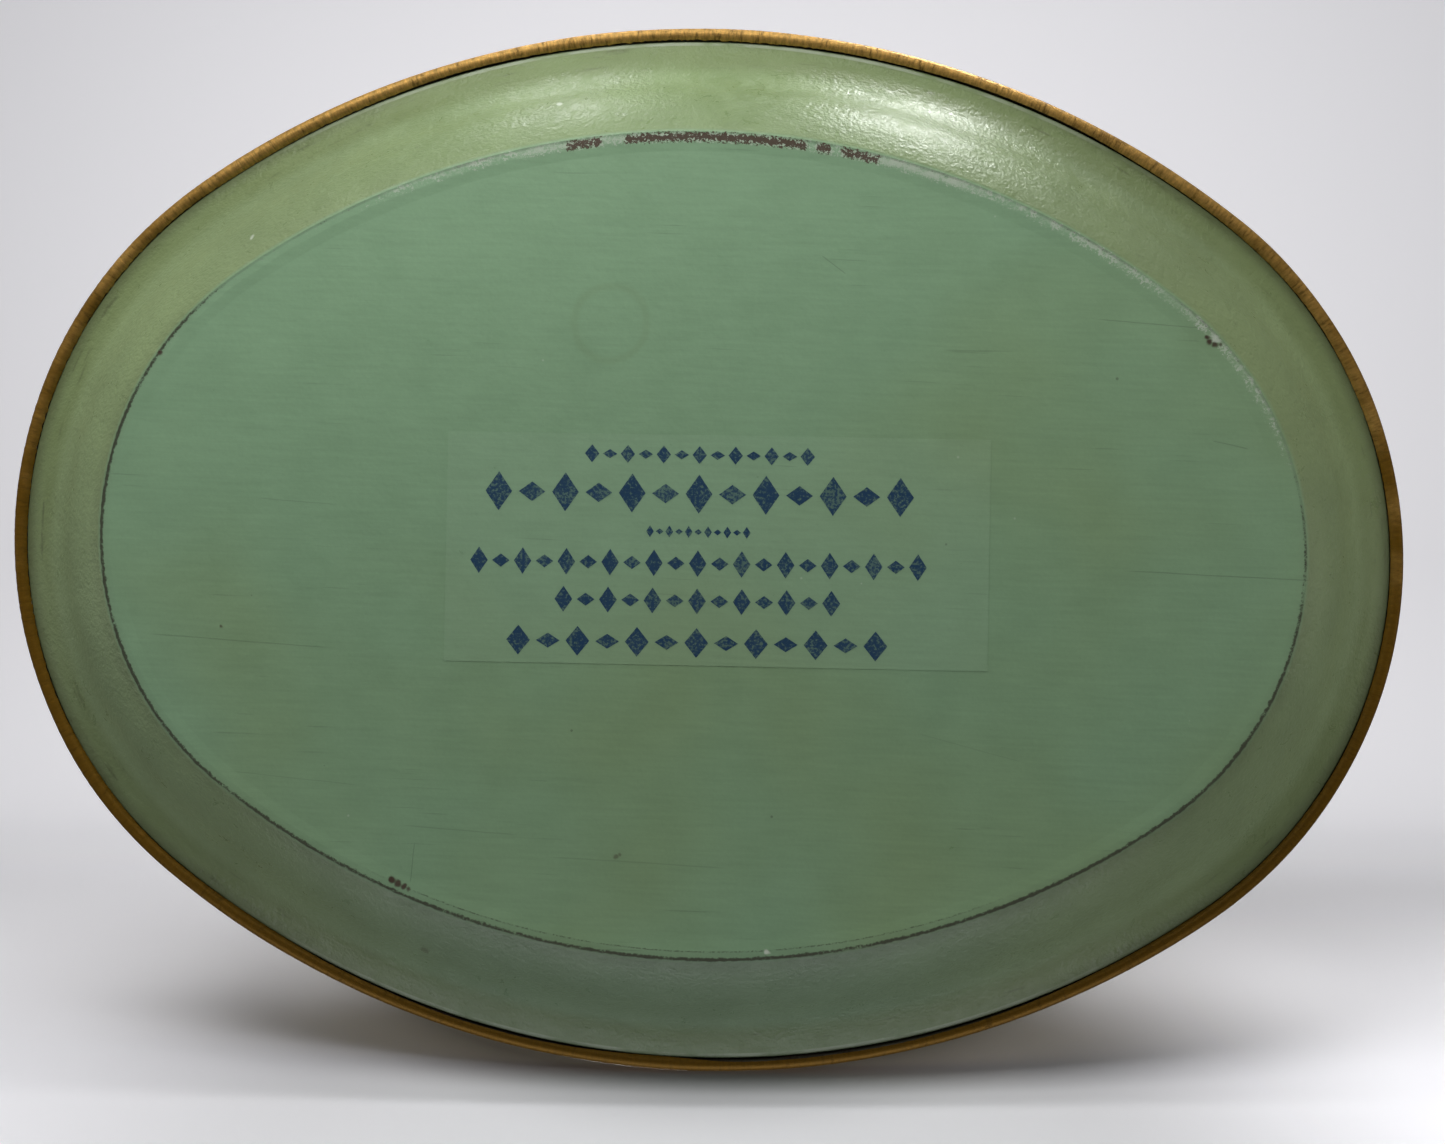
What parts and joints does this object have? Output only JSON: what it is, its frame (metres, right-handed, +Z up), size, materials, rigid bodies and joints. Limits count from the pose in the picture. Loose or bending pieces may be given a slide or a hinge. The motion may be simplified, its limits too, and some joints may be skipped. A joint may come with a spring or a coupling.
{
  "type": "serving tray",
  "caption": "Oval pressed tinplate serving tray with a flared flange, a gilded curled rim, a green enamelled back and a printed face.",
  "frame": {"origin": "centre of the surface that the tray stands on, with the tray face up", "axes": "+X along the oval's length, +Y across it, +Z up, out of the tray's face"},
  "size_m": [0.4064, 0.3048, 0.0299],
  "materials": {
    "tinplate": "dull tinplate, worn and lightly rusted where the enamel has rubbed off",
    "iron_wire": "dull drawn iron wire",
    "back_enamel": "sage green stoved enamel, satin, with soiling and scratches",
    "gold_lacquer": "old gold bronze lacquer, half metallic, browned in the folds",
    "face_cream": "cream ground, glossy varnish",
    "face_green": "dark green ground, glossy varnish",
    "face_gold": "gold bronze line, satin",
    "leaf_green": "leaf green ink, glossy varnish",
    "berry_red": "deep red ink, glossy varnish",
    "clear_size": "thin clear size over the enamel, slightly glossier than the enamel",
    "imprint_ink": "dark blue printer's ink, slightly worn"
  },
  "bodies": {
    "root": {"tinplate_pan": "tinplate", "rim_wire": "iron_wire", "back_enamel_floor": "back_enamel", "back_enamel_flange": "back_enamel", "rim_gilding": "gold_lacquer", "face_floor_ground": "face_cream", "face_flange_ground": "face_green", "face_gold_lines": "face_gold", "wreath_leaves": "leaf_green", "wreath_berries": "berry_red", "imprint_size_panel": "clear_size", "imprint_ink_rows": "imprint_ink"}
  },
  "joints": []
}
